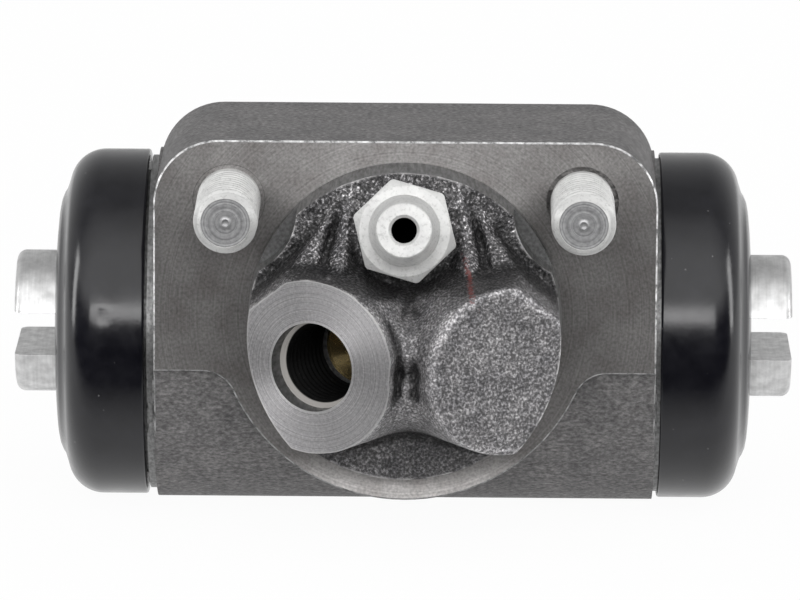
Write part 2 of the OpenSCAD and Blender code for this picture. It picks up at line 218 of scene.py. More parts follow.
def nut_limit(x, z, side):
    """The most that the hub may stand up near a stud: the floor, and a steep wall past a slightly curved
    line that leaves room for the nut."""
    across, down = side * x - stud_x, z - stud_z
    past = -(across + down) * math.sqrt(0.5) - nut_room + (across - down) ** 2 / (4 * nut_curve)
    return hub_floor + nut_floor + nut_wall * np.clip(past, 0, None)


rough_below, rough_above = 10 * mm, 3 * mm


def sand_lumps(x, z, heights):
    """The marks of the sand: two sizes of lumps, which are highest in the low corners beside the bleed boss,
    and a fine grain everywhere."""
    lumps = 0.09 * lattice_noise(x, z, 1.9 * mm, 2) + 0.06 * lattice_noise(x, z, 0.8 * mm, 3)
    lumps = lumps * np.where((heights < rough_below) & (z > rough_above), 2.0, 0.7)
    return mm * (lumps + 0.05 * lattice_noise(x, z, 0.42 * mm, 4))


bleed_wall, bleed_foot, bleed_blend = 3.2, 1.1, 0.7 * mm
groove_depth, groove_place, groove_reach = 2.2 * mm, 0.7 * mm, 0.8 * mm
groove_top, groove_fade, groove_foot, groove_rise = 16 * mm, 5 * mm, 5 * mm, 2 * mm
hex_room, hex_under, hex_slope, hex_steep, hex_blend = 6.5 * mm, 0.15 * mm, 2.2, 12, 2 * mm
blank_shift, blank_extra, blank_round = 0.7 * mm, 1.9 * mm, 0.9 * mm
saddle_fillet, saddle_more, saddle_low, saddle_fade = 8 * mm, 2.5 * mm, -7 * mm, 2 * mm
floor_swell, floor_cell, hub_soft = 0.15 * mm, 5 * mm, 1.4


def hub_heights(x, z):
    """The rough hub as heights above the mounting face: the floor with its wings and aprons, the bleed boss
    with a groove along its sides, and two round bosses with a saddle between them, all kept below the
    hexagon; then the pocket, the groove beside the port and the nuts' room are taken away, and the rest is
    softened and grained."""
    field = hub_floor + wing_height(x, z) + floor_swell * lattice_noise(x, z, floor_cell, 1)
    for side in (-1, 1):
        field = smooth_max(field, foot_height(x, z, side), apron_blend)
    side_gap = bleed_gap(x, z)
    groove = fade(groove_top - z, groove_fade) * fade(z - groove_foot, groove_rise)
    field = field - groove_depth * groove * bell(side_gap, groove_place, groove_reach)
    slope = bleed_axis[2] / -bleed_axis[1]
    face = -bleed_seat[1] - (z - bleed_seat[2]) * slope
    bleed_boss = face - bleed_wall * np.clip(side_gap, 0, None)
    bleed_boss = bleed_boss - bleed_foot * np.clip(bleed_low - z, 0, None)
    field = smooth_max(field, bleed_boss, bleed_blend)
    hex_gap = np.clip(np.hypot(x, z - bleed_seat[2]) - hex_room, 0, None)
    under_hex = face + hex_under + hex_slope * hex_gap
    port_boss = boss_height(x - port_shift, z, -1, port_extra, 0)
    blank_boss = boss_height(x - blank_shift, z, 1, blank_extra, blank_round)
    fillet = saddle_fillet + saddle_more * fade(saddle_low - z, saddle_fade)
    saddle = -smooth_max(-smooth_max(port_boss, blank_boss, fillet), -under_hex, hex_blend)
    bosses = np.minimum(np.maximum(port_boss, blank_boss), under_hex + hex_steep * hex_gap)
    field = smooth_max(np.minimum(field, under_hex), np.maximum(saddle, bosses), apron_blend)
    field = field - pocket_depth(x, z) - beside_port(x, z)
    for side in (-1, 1):
        field = np.minimum(field, nut_limit(x, z, side))
    field = soften(field, hub_soft)
    return field + sand_lumps(x, z, field)


def new_piece(name, points, faces, finishes):
    """A smooth mesh object at the origin, from an array of points in metres and a list of faces."""
    mesh = bpy.data.meshes.new(name)
    mesh.from_pydata(points.tolist(), [], faces)
    for finish in finishes:
        mesh.materials.append(finish)
    mesh.shade_smooth()
    piece = bpy.data.objects.new(name, mesh)
    bpy.context.scene.collection.objects.link(piece)
    return piece


def height_solid(x, z, heights, foot):
    """A closed solid under a height field: its grid, four skirts down to the foot, and a flat base."""
    rows, cols = x.shape
    index = np.arange(rows * cols).reshape(rows, cols)
    top = np.stack([x, -heights, z], -1).reshape(-1, 3)
    rim = np.concatenate([index[0, :-1], index[:-1, -1], index[-1, :0:-1], index[:0:-1, 0]])
    base = top[rim] * [1, 0, 1] + [0, foot, 0]
    low = rows * cols + np.arange(len(rim))
    quads = np.stack([index[:-1, :-1], index[1:, :-1], index[1:, 1:], index[:-1, 1:]], -1)
    skirt = np.stack([rim, np.roll(rim, -1), np.roll(low, -1), low], -1)
    return np.concatenate([top, base]), [*quads.reshape(-1, 4).tolist(), *skirt.tolist(), low.tolist()]


def turned(profile, sides, start=0.0):
    """A profile of (radius, height) carried round an axis. An end at radius 0 is closed by a pole, and a
    profile with no such end is closed on itself as a ring. Returns local points and faces."""
    profile = np.array(profile, float)
    ring = profile[0, 0] > 0
    rows = profile if ring else profile[1:-1]
    angle = start + np.arange(sides) * 2 * math.pi / sides
    grid = np.stack([
        rows[:, :1] * np.cos(angle), rows[:, :1] * np.sin(angle), np.repeat(rows[:, 1:2], sides, 1)
    ], -1)
    index = np.arange(len(rows) * sides).reshape(len(rows), sides)
    after = np.roll(index, -1, 1)
    lower, upper = (index, np.roll(index, -1, 0)) if ring else (index[:-1], index[1:])
    lower_next, upper_next = (after, np.roll(after, -1, 0)) if ring else (after[:-1], after[1:])
    faces = np.stack([lower, lower_next, upper_next, upper], -1).reshape(-1, 4).tolist()
    points = grid.reshape(-1, 3)
    if not ring:
        bottom, top = len(points), len(points) + 1
        poles = [[0, 0, profile[0, 1]], [0, 0, profile[-1, 1]]]
        points = np.concatenate([points, poles])
        faces += [[bottom, b, a] for a, b in zip(index[0].tolist(), after[0].tolist())]
        faces += [[top, a, b] for a, b in zip(index[-1].tolist(), after[-1].tolist())]
    return points, faces


def on_axis(points, origin, axis, first):
    """Local points carried to three square directions at an origin: first, axis across first, and axis."""
    axis = np.array(axis, float) / np.linalg.norm(axis)
    first = np.array(first, float) - np.dot(first, axis) * axis
    first /= np.linalg.norm(first)
    return np.array(origin) + points @ np.stack([first, np.cross(axis, first), axis])


def begin_finish(name, colour, metallic, roughness):
    """A new material with one shader, whose plain values are set on its sockets."""
    finish = bpy.data.materials.new(name)
    finish.use_nodes = True
    shader = finish.node_tree.nodes["Principled BSDF"]
    shader.inputs["Base Color"].default_value = (*colour, 1)
    shader.inputs["Metallic"].default_value = metallic
    shader.inputs["Roughness"].default_value = roughness
    return finish, finish.node_tree, shader


def add(tree, kind, *values, **named):
    """Adds a node. Values go to its sockets in order or by name, a socket is linked, and a capital-free
    name that is no socket sets the node itself. Returns the node's first output."""
    node = tree.nodes.new(kind)
    for key, value in named.items():
        if key.islower():
            setattr(node, key, value)
    by_name = [(key.replace("_", " "), value) for key, value in named.items() if not key.islower()]
    for key, value in [*enumerate(values), *by_name]:
        if isinstance(value, bpy.types.NodeSocket):
            tree.links.new(value, node.inputs[key])
        else:
            node.inputs[key].default_value = value
    return node.outputs[0]


def ramp(tree, factor, *stops):
    """Colours along a factor: each stop is a place and a grey level or a colour."""
    node = tree.nodes.new("ShaderNodeValToRGB")
    tree.links.new(factor, node.inputs[0])
    while len(node.color_ramp.elements) < len(stops):
        node.color_ramp.elements.new(0.5)
    for element, (place, colour) in zip(node.color_ramp.elements, stops):
        element.position = place
        element.color = (colour, colour, colour, 1) if isinstance(colour, float) else (*colour, 1)
    return node.outputs[0]


def mix(tree, factor, a, b, blend="MIX"):
    """Two colours mixed by a factor."""
    node = tree.nodes.new("ShaderNodeMix")
    node.data_type, node.blend_type = "RGBA", blend
    for socket, value in zip((node.inputs[0], node.inputs[6], node.inputs[7]), (factor, a, b)):
        if isinstance(value, bpy.types.NodeSocket):
            tree.links.new(value, socket)
        else:
            socket.default_value = value if isinstance(value, float) else (*value, 1)
    return node.outputs[2]


def object_place(tree):
    """The point on the piece, in the object's own frame."""
    return tree.nodes.new("ShaderNodeTexCoord").outputs["Object"]


def speckle(tree, place, size, detail=2.0, rough=0.5):
    """Noise whose blots are about the given size, in metres."""
    return add(tree, "ShaderNodeTexNoise", Vector=place, Scale=1 / size, Detail=detail, Roughness=rough)


def bump(tree, shader, height, depth, strength=1.0):
    """Tilts the shader's normal by a height from 0 to 1 that stands for a real depth."""
    tilt = add(tree, "ShaderNodeBump", Strength=strength, Distance=depth, Height=height)
    tree.links.new(tilt, shader.inputs["Normal"])


def value_of(tree, name):
    """A value that the mesh's points carry."""
    node = tree.nodes.new("ShaderNodeAttribute")
    node.attribute_name = name
    return node.outputs["Fac"]


def math_node(tree, way, *values):
    """One step of arithmetic on values or sockets."""
    return add(tree, "ShaderNodeMath", *values, operation=way)


def parts_of(tree, vector):
    """The three parts of a vector."""
    node = tree.nodes.new("ShaderNodeSeparateXYZ")
    tree.links.new(vector, node.inputs[0])
    return node.outputs


def length_of(tree, vector):
    """The length of a vector."""
    node = tree.nodes.new("ShaderNodeVectorMath")
    node.operation = "LENGTH"
    tree.links.new(vector, node.inputs[0])
    return node.outputs["Value"]


paint_x, paint_z, paint_lean = 9.5 * mm, 7.4 * mm, 0.25
paint_wide, paint_high = 0.5 * mm, 2.4 * mm


def sand_cast_iron():
    """Iron as the sand leaves it: a dark skin with a grain whose palest spots are partly painted glints, more
    painted glints on the low floor, painted shade in hollows, on steep walls that face up and on low parts,
    painted highlights on ridges, pale edges that are partly bare iron and partly a painted highlight, and
    one smear of red paint."""
    finish, tree, shader = begin_finish("sand_cast_iron", (0.1, 0.1, 0.1), 0.35, 0.45)
    place = object_place(tree)
    grain = speckle(tree, place, 0.32 * mm, 3.0, 0.6)
    blotch = speckle(tree, place, 2.2 * mm, 2.0)
    tone = ramp(tree, blotch, (0.3, (0.10, 0.098, 0.102)), (0.7, (0.18, 0.175, 0.178)))
    # The grain's palest spots are partly painted glints.
    tone = mix(tree, 1.0, tone, ramp(tree, grain, (0.4, 0.4), (0.53, 0.95), (0.68, 2.4)), "MULTIPLY")
    shade_and_highlight = value_of(tree, "shade_and_highlight")
    x, y, z = parts_of(tree, place)
    # Painted glints: on the low floor in the hub's upper half, a speckle makes the colour up to three times paler.
    wing = math_node(tree, "MULTIPLY", add(tree, "ShaderNodeMapRange", y, -14.5 * mm, -13 * mm, 0.0, 1.0),
                     add(tree, "ShaderNodeMapRange", z, 4 * mm, 7 * mm, 0.0, 1.0))
    painted_glint = ramp(tree, speckle(tree, place, 0.34 * mm, 2.0, 0.6), (0.42, 0.45), (0.55, 0.85), (0.66, 3.0))
    tone = mix(tree, wing, tone, mix(tree, 1.0, tone, painted_glint, "MULTIPLY"))
    # Painted shade in hollows and on steep walls that face up, painted highlights on ridges and the bleed boss's
    # edges.
    painted_light_tone = ramp(tree, shade_and_highlight, (0.1, 0.3), (0.4, 0.9), (0.6, 1.0), (0.9, 1.7))
    tone = mix(tree, 1.0, tone, painted_light_tone, "MULTIPLY")
    # Pale patches along edges where a cut meets the skin: partly bare iron, partly a painted highlight.
    patches = ramp(tree, blotch, (0.42, 0.1), (0.6, 1.0))
    ragged = math_node(tree, "MULTIPLY", value_of(tree, "edge"), patches)
    tone = mix(tree, ragged, tone, (0.55, 0.54, 0.54))
    # Painted shade and light: darker where the skin stands low off the mounting face, paler on its high parts, and
    # darker again towards the bottom of the hub.
    painted_height_shade = add(tree, "ShaderNodeMapRange", y, -8 * mm, -15 * mm, 0.9, 1.2)
    painted_low_shade = add(tree, "ShaderNodeMapRange", z, -14 * mm, -9 * mm, 0.65, 1.0)
    shade = math_node(tree, "MULTIPLY", painted_height_shade, math_node(tree, "MAXIMUM", painted_low_shade, painted_height_shade))
    tone = mix(tree, 1.0, tone, shade, "MULTIPLY")
    across = math_node(tree, "MULTIPLY_ADD", z, paint_lean, x)
    across = math_node(tree, "ABSOLUTE", math_node(tree, "SUBTRACT", across, paint_x))
    along = math_node(tree, "ABSOLUTE", math_node(tree, "SUBTRACT", z, paint_z))
    away = math_node(tree, "MAXIMUM", math_node(tree, "DIVIDE", across, paint_wide),
                     math_node(tree, "DIVIDE", along, paint_high))
    away = math_node(tree, "ADD", away, math_node(tree, "MULTIPLY", speckle(tree, place, 0.45 * mm), 3.0))
    paint = ramp(tree, math_node(tree, "MULTIPLY", away, 0.3), (0.5, 0.75), (0.68, 0.0))
    tree.links.new(mix(tree, paint, tone, (0.2, 0.055, 0.05)), shader.inputs["Base Color"])
    tree.links.new(ramp(tree, grain, (0.35, 0.6), (0.7, 0.32)), shader.inputs["Roughness"])
    bump(tree, shader, grain, 0.2 * mm, 0.9)
    return finish


def turned_iron():
    """Iron cut on a lathe: rings about the spigot's axis, which draw each highlight out along the radius, stained
    a little and scratched, and with a painted highlight that pales the bottom of the pad."""
    finish, tree, shader = begin_finish("turned_iron", (0.3, 0.3, 0.3), 0.72, 0.46)
    shader.inputs["Anisotropic"].default_value = 0.82
    place = object_place(tree)
    flat = add(tree, "ShaderNodeVectorMath", place, (1, 0, 1), operation="MULTIPLY")
    tree.links.new(flat, shader.inputs["Tangent"])
    x, y, z = parts_of(tree, place)
    radius = math_node(tree, "ADD", length_of(tree, flat), math_node(tree, "MULTIPLY", y, 0.9))
    rings = add(tree, "ShaderNodeTexNoise", W=radius, Scale=1 / (0.22 * mm), Detail=3.0, Roughness=0.65,
                noise_dimensions="1D")
    stain = speckle(tree, place, 5 * mm, 3.0, 0.6)
    pits = speckle(tree, place, 0.35 * mm, 2.0)
    tone = ramp(tree, stain, (0.3, (0.25, 0.235, 0.23)), (0.55, (0.32, 0.31, 0.305)),
                (0.75, (0.37, 0.355, 0.35)))
    tone = mix(tree, 0.35, tone, ramp(tree, rings, (0.3, 0.55), (0.7, 1.3)), "MULTIPLY")
    tone = mix(tree, 0.28, tone, ramp(tree, pits, (0.34, 0.3), (0.5, 1.0), (0.7, 1.7)), "MULTIPLY")
    # Painted highlight: the colour grows up to 1.7 times paler towards the bottom of the pad.
    bright = add(tree, "ShaderNodeMapRange", z, -17 * mm, -21 * mm, 1.0, 1.7)
    tree.links.new(mix(tree, 1.0, tone, bright, "MULTIPLY"), shader.inputs["Base Color"])
    tree.links.new(ramp(tree, pits, (0.3, 0.52), (0.7, 0.44)), shader.inputs["Roughness"])
    bump(tree, shader, mix(tree, 0.15, rings, pits), 0.015 * mm, 0.5)
    return finish


def bored_iron():
    """Iron inside a bored or spot-faced cut: dark with cutting oil, with fine drag marks."""
    finish, tree, shader = begin_finish("bored_iron", (0.12, 0.12, 0.12), 0.7, 0.42)
    place = object_place(tree)
    drag = speckle(tree, add(tree, "ShaderNodeMapping", Vector=place, Scale=(1, 0.15, 1)), 0.4 * mm, 3.0)
    tree.links.new(ramp(tree, drag, (0.3, 0.12), (0.7, 0.26)), shader.inputs["Base Color"])
    tree.links.new(ramp(tree, drag, (0.3, 0.5), (0.7, 0.36)), shader.inputs["Roughness"])
    bump(tree, shader, drag, 0.02 * mm, 0.5)
    return finish


def faced_iron():
    """Iron faced by the port tool: fine rings about the port's axis, torn spots and a pale sharp edge, which is
    partly bare iron and partly a painted highlight.
    """
    finish, tree, shader = begin_finish("faced_iron", (0.42, 0.41, 0.41), 0.8, 0.4)
    shader.inputs["Anisotropic"].default_value = 0.8
    place = object_place(tree)
    lean = Vector(port_axis).to_track_quat("Z", "Y").to_euler()
    turn = add(tree, "ShaderNodeMapping", Vector=place, vector_type="TEXTURE",
               Location=tuple(port_mouth), Rotation=tuple(lean))
    away = add(tree, "ShaderNodeVectorMath", place, tuple(port_mouth), operation="SUBTRACT")
    tree.links.new(away, shader.inputs["Tangent"])
    radius = length_of(tree, add(tree, "ShaderNodeVectorMath", turn, (1, 1, 0), operation="MULTIPLY"))
    rings = add(tree, "ShaderNodeTexNoise", W=radius, Scale=1 / (0.16 * mm), Detail=3.0, Roughness=0.6,
                noise_dimensions="1D")
    pits = speckle(tree, place, 0.3 * mm, 3.0, 0.6)
    tone = ramp(tree, pits, (0.32, (0.44, 0.43, 0.44)), (0.5, (0.55, 0.54, 0.55)),
                (0.7, (0.74, 0.73, 0.74)))
    tone = mix(tree, 0.6, tone, ramp(tree, rings, (0.3, 0.45), (0.7, 1.5)), "MULTIPLY")
    # The pale edge where the face meets the cast skin: partly bare iron, partly a painted highlight.
    tone = mix(tree, value_of(tree, "edge"), tone, (0.85, 0.84, 0.84))
    tree.links.new(tone, shader.inputs["Base Color"])
    tree.links.new(ramp(tree, pits, (0.3, 0.5), (0.7, 0.32)), shader.inputs["Roughness"])
    bump(tree, shader, mix(tree, 0.4, rings, pits), 0.025 * mm, 0.6)
    return finish


def burr_and_painted_highlight():
    """The pale, ragged edge that a cutting tool leaves on iron, partly bare iron and partly a painted highlight:
    more metallic at the top, and darker lower down.
    """
    finish, tree, shader = begin_finish("burr_and_painted_highlight", (0.7, 0.69, 0.68), 0.1, 0.4)
    place = object_place(tree)
    chips = speckle(tree, place, 1.1 * mm, 4.0, 0.7)
    x, y, z = parts_of(tree, place)
    # The colour darkens towards the bottom.
    darker_below = add(tree, "ShaderNodeMapRange", z, -8 * mm, 2 * mm, 0.4, 1.0)
    tone = mix(tree, 1.0, ramp(tree, chips, (0.38, 0.12), (0.5, 0.5), (0.66, 0.8)), darker_below, "MULTIPLY")
    tree.links.new(tone, shader.inputs["Base Color"])
    bare = add(tree, "ShaderNodeMapRange", z, 11 * mm, 16 * mm, 0.1, 0.4)
    tree.links.new(bare, shader.inputs["Metallic"])
    bump(tree, shader, chips, 0.05 * mm, 0.6)
    return finish


def skin_iron():
    """The smoother cast skin of the block and barrel: fine grain drawn out along the bore."""
    finish, tree, shader = begin_finish("skin_iron", (0.13, 0.13, 0.13), 0.3, 0.55)
    place = object_place(tree)
    drawn = add(tree, "ShaderNodeMapping", Vector=place, Scale=(0.6, 1, 1))
    grain = speckle(tree, drawn, 0.36 * mm, 4.0, 0.65)
    blotch = speckle(tree, place, 4 * mm, 2.0)
    tone = ramp(tree, blotch, (0.3, (0.115, 0.112, 0.113)), (0.7, (0.155, 0.15, 0.15)))
    tone = mix(tree, 1.0, tone, ramp(tree, grain, (0.32, 0.5), (0.5, 0.96), (0.7, 1.7)), "MULTIPLY")
    tree.links.new(tone, shader.inputs["Base Color"])
    tree.links.new(ramp(tree, grain, (0.3, 0.68), (0.7, 0.5)), shader.inputs["Roughness"])
    bump(tree, shader, grain, 0.07 * mm, 0.8)
    return finish


iron_finishes = [sand_cast_iron(), turned_iron(), faced_iron(), burr_and_painted_highlight(), skin_iron(), bored_iron()]
CAST, TURNED, FACED, BURR, SKIN, BORED = range(len(iron_finishes))


def cut(piece, tool, way):
    """Applies one cut, or a join, of a tool to a piece, and takes the tool away."""
    step = piece.modifiers.new(way, "BOOLEAN")
    step.operation, step.solver, step.object = way, "MANIFOLD", tool
    bpy.context.view_layer.update()
    mesh = bpy.data.meshes.new_from_object(piece.evaluated_get(bpy.context.evaluated_depsgraph_get()))
    piece.modifiers.clear()
    piece.data = mesh
    bpy.data.objects.remove(tool)


def cutter(profile, origin, axis, finish, sides=128):
    """A turned tool whose cut leaves one finish."""
    points, faces = turned(profile, sides)
    tool = new_piece("tool", on_axis(points, origin, axis, (1, 0, 0.1)), faces, iron_finishes)
    tool.data.polygons.foreach_set("material_index", np.full(len(faces), finish, np.int32))
    return tool


steps = np.arange(-hub_half, hub_half + hub_step / 2, hub_step)
hub_x, hub_z = np.meshgrid(steps, steps, indexing="ij")
hub_field = hub_heights(hub_x, hub_z)
hub = new_piece("hub", *height_solid(hub_x, hub_z, hub_field, 1 * mm), iron_finishes)

out = (0, -1, 0)
above, below = 30 * mm, -2 * mm
lathe_r, register_h = spigot_r + 0.03 * mm, 1.5 * mm
draft_r = lathe_r - (above - register_h) * math.tan(math.radians(1))
lathe = [(0, below), (lathe_r, below), (lathe_r, register_h), (draft_r, above), (0, above)]
cut(hub, cutter(lathe, (0, 0, 0), out, BORED, 256), "INTERSECT")
spot_r, spot_h = 8.15 * mm, 2 * mm
for side in (-1, 1):
    spot = [(0, spot_h), (spot_r, spot_h), (spot_r, above), (0, above)]
    cut(hub, cutter(spot, (side * stud_x, 0, stud_z), out, BORED), "DIFFERENCE")
face_r, face_step = 14 * mm, 0.2 * mm
facing = [(r, 0) for r in np.arange(0, face_r, face_step)] + [(face_r, above), (0, above)]
cut(hub, cutter(facing, port_mouth, port_axis, FACED), "DIFFERENCE")
passage_r, passage_low = 1.5 * mm, -25 * mm
seat_r, seat_low, seat_top = 4.5 * mm, -16 * mm, -13 * mm
mouth_r, mouth_low, ledge_low, mouth_top = 5.3 * mm, -2.3 * mm, -3.5 * mm, 1 * mm
bore = [
    (0, passage_low), (passage_r, passage_low), (passage_r, seat_low), (seat_r, seat_low),
    (seat_r, seat_top), (port_r, seat_top), (port_r, ledge_low), (mouth_r, ledge_low),
    (mouth_r, mouth_top), (0, mouth_top)
]
cut(hub, cutter(bore, port_mouth, port_axis, BORED), "DIFFERENCE")
drill_r, drill_low = 5.05 * mm, -15 * mm
drill = [(0, drill_low), (drill_r, drill_low), (drill_r, above), (0, above)]
cut(hub, cutter(drill, bleed_seat, bleed_axis, BORED), "DIFFERENCE")


def cad_copy(node, name, finishes):
    """A new object with a copy of a CAD node's mesh, its loose triangles joined, in new finishes."""
    mesh = frame["nodes"][node].data.copy()
    shape = bmesh.new()
    shape.from_mesh(mesh)
    bmesh.ops.remove_doubles(shape, verts=shape.verts, dist=1e-7)
    shape.to_mesh(mesh)
    shape.free()
    mesh.materials.clear()
    for finish in finishes:
        mesh.materials.append(finish)
    copy = bpy.data.objects.new(name, mesh)
    bpy.context.scene.collection.objects.link(copy)
    return copy


neck_x = 30.1 * mm
stud_clear = 6 * mm
flank_top = -8 * mm
room_wide, room_deep = 0.2, 0.1
near_flat = math.radians(0.5)
block = cad_copy("body", "block", iron_finishes)
block.data.polygons.foreach_set("material_index", np.full(len(block.data.polygons), SKIN, np.int32))
room = [(0, 0), (room_wide, 0), (room_wide, room_deep), (0, room_deep)]
behind = new_piece("tool", *turned(room, 4), iron_finishes)
behind.data.transform(Matrix.Rotation(math.radians(-90), 4, "X"))
behind.data.polygons.foreach_set("material_index", np.full(len(behind.data.polygons), TURNED, np.int32))
cut(block, behind, "INTERSECT")
shape = bmesh.new()
shape.from_mesh(block.data)
bmesh.ops.remove_doubles(shape, verts=shape.verts, dist=0.01 * mm)
bmesh.ops.dissolve_limit(shape, angle_limit=near_flat, verts=shape.verts, edges=shape.edges,
                         delimit={"MATERIAL"})
burr = shape.edges.layers.float.new("bevel_weight_edge")
for face in shape.faces:
    if face.normal.y < -0.999 and face.calc_center_median().y < 0.05 * mm:
        face.material_index = TURNED
    elif abs(face.calc_center_median().x) > neck_x and face.normal.x ** 2 < 0.5:
        face.material_index = BORED
for edge in shape.edges:
    middle = (edge.verts[0].co + edge.verts[1].co) / 2
    at_stud = math.hypot(abs(middle.x) - stud_x, middle.z - stud_z) < stud_clear
    outline = {face.material_index for face in edge.link_faces} == {TURNED, SKIN} and not at_stud
    upright = abs(edge.verts[0].co.z - edge.verts[1].co.z) > 0.9 * edge.calc_length()
    fronts = [face for face in edge.link_faces if face.normal.y < -0.7]
    flanks = [face for face in edge.link_faces if abs(face.normal.x) > 0.7]
    edge[burr] = outline or (upright and middle.z < flank_top and len(fronts) == len(flanks) == 1)
shape.to_mesh(block.data)
shape.free()
edge_break = block.modifiers.new("edge_break", "BEVEL")
edge_break.width = 0.2 * mm
edge_break.segments = 1
edge_break.limit_method = "WEIGHT"
edge_break.use_clamp_overlap = False
edge_break.material = BURR
cut(block, hub, "UNION")
casting = block
casting.name = "casting"


def grid_value(field, x, z):
    """The hub grid's value at any place, taken straight between the four points around it."""
    last = len(field) - 1.001
    u, v = np.clip((x + hub_half) / hub_step, 0, last), np.clip((z + hub_half) / hub_step, 0, last)
    i, j = u.astype(int), v.astype(int)
    s, t = u - i, v - j
    low = field[i, j] * (1 - s) + field[i + 1, j] * s
    return low * (1 - t) + (field[i, j + 1] * (1 - s) + field[i + 1, j + 1] * s) * t


def finish_edges(mesh, points, width, passes=4):
    """A value per point: 1 where two finishes meet, falling to 0 along the mesh within the given width."""
    ends = np.empty(len(mesh.edges) * 2, np.int32)
    mesh.edges.foreach_get("vertices", ends)
    sides = np.empty(len(mesh.loops), np.int32)
    mesh.loops.foreach_get("edge_index", sides)
    finish, corners = np.empty((2, len(mesh.polygons)), np.int32)
    mesh.polygons.foreach_get("material_index", finish)
    mesh.polygons.foreach_get("loop_total", corners)
    finish = np.repeat(finish, corners)
    least, most = np.full(len(mesh.edges), len(iron_finishes)), np.full(len(mesh.edges), -1)
    np.minimum.at(least, sides, finish)
    np.maximum.at(most, sides, finish)
    ends = ends.reshape(-1, 2)
    value = np.zeros(len(points))
    value[ends[least < most].ravel()] = 1
    step = np.linalg.norm(points[ends[:, 0]] - points[ends[:, 1]], axis=1)[:, None] / width
    for _ in range(passes):
        np.maximum.at(value, ends.ravel(), (value[ends[:, ::-1]] - step).ravel())
    return np.clip(value, 0, 1)


def crisp(piece, degrees):
    """Keeps edges sharper than an angle, and those between two finishes, and shades the rest smooth."""
    mesh = piece.data
    shape = bmesh.new()
    shape.from_mesh(mesh)
    for edge in shape.edges:
        finishes = {face.material_index for face in edge.link_faces}
        edge.smooth = len(finishes) == 1 and edge.calc_face_angle(0) < math.radians(degrees)
    shape.to_mesh(mesh)
    shape.free()


# The cast skin's painted light, from 0 to 1: painted shade in hollows and on steep walls that face up, and
# painted highlights on ridges and on the two edges of the bleed boss.
points = np.empty(len(casting.data.vertices) * 3, np.float32)
casting.data.vertices.foreach_get("co", points)
points = points.reshape(-1, 3).astype(float)
port_side = hub_x < 0.5 * mm
port_plane = port_h + (boss_x + hub_x) * math.tan(boss_tilt)
seen_field = soften(np.where(port_side, np.minimum(hub_field, port_plane), hub_field), 1.5)
fine = (seen_field - soften(seen_field, 3)) / (0.3 * mm)
broad = np.minimum(seen_field - soften(seen_field, 8), 0) / (2.4 * mm)
upward = np.clip(-0.5 * np.gradient(seen_field, hub_step, axis=1) - 1, 0, 0.8)
upward = upward * np.clip((wing_half - np.abs(hub_x)) / (3 * mm), 0.2, 1)
fine = np.where(upward > 0, np.minimum(fine, 0), fine)
# A painted highlight along the two edges of the bleed boss.
boss_edge_highlight = bell(bleed_gap(hub_x, hub_z), -0.15 * mm, 0.22 * mm) * (hub_z > 7.5 * mm)
shade_and_highlight = 0.5 + 0.5 * np.clip(fine + broad - upward + 0.9 * boss_edge_highlight, -1, 1)
for name, values in (("shade_and_highlight", grid_value(shade_and_highlight, points[:, 0], points[:, 2])),
                     ("edge", finish_edges(casting.data, points, 0.22 * mm))):
    casting.data.attributes.new(name, "FLOAT", "POINT").data.foreach_set("value", values.astype(np.float32))
crisp(casting, 32)
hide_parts("body")
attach(casting, "cylinder")

# Inlet thread
# The port is tapped for the pipe nut: a fine thread, cut into the bored iron wall above the brass seat.
# It is a ring of its own in the bore, painted near black as shade deep in the port, and its top opens in a cone at
# the mouth.
thread_r = port_r - 0.005 * mm
thread_pitch = 1 * mm
thread_depth = 0.55 * mm
thread_low, thread_high = -12.8 * mm, mouth_low + 0.02 * mm


def threaded_ring(radius, depth, pitch, low, high, sides, rows):
    """An inside thread: the radius falls by a cosine wave of the pitch, which winds once a turn, under a
    cone that opens at the top; a plain outer wall closes the ring."""
    angle = np.arange(sides) * 2 * math.pi / sides
    along = np.linspace(low, high, rows)[:, None]
    phase = (along / pitch - angle / (2 * math.pi)) % 1
    crest = 0.5 - 0.5 * np.cos(2 * math.pi * phase)
    inner = radius - depth * crest * fade(along - low, pitch)
    inner = np.maximum(inner, mouth_r - 0.02 * mm - 1.1 * (high - along))
    outer = np.array([[high], [low]])
    r = np.concatenate([inner, np.full((2, sides), mouth_r + 0.2 * mm)])
    h = np.concatenate([np.repeat(along, sides, 1), np.repeat(outer, sides, 1)])
    grid = np.stack([r * np.cos(angle), r * np.sin(angle), h], -1)
    index = np.arange(r.size).reshape(r.shape)
    after = np.roll(index, -1, 1)
    faces = np.stack([index, np.roll(index, -1, 0), np.roll(after, -1, 0), after], -1)
    return grid.reshape(-1, 3), faces.reshape(-1, 4).tolist()


def painted_shade_thread():
    """Tapped iron painted near black as shade deep in a hole, with specks of swarf dust and a pale band at its
    top.
    """
    finish, tree, shader = begin_finish("painted_shade_thread", (0.01, 0.01, 0.01), 0.0, 0.5)
    shader.inputs["Specular IOR Level"].default_value = 0.05
    place = object_place(tree)
    dust = speckle(tree, place, 0.25 * mm, 3.0)
    tone = ramp(tree, dust, (0.4, 0.002), (0.65, 0.004), (0.75, 0.02))
    rim = add(tree, "ShaderNodeVectorMath", place, tuple(port_mouth), operation="SUBTRACT")
    rim = add(tree, "ShaderNodeVectorMath", rim, tuple(port_axis), operation="DOT_PRODUCT")
    rim = rim.node.outputs["Value"]
    bright = add(tree, "ShaderNodeMapRange", rim, mouth_low - 0.5 * mm, mouth_low - 0.42 * mm, 0.0, 1.0)
    tree.links.new(mix(tree, bright, tone, (0.34, 0.325, 0.31)), shader.inputs["Base Color"])
    bump(tree, shader, dust, 0.02 * mm, 0.6)
    return finish


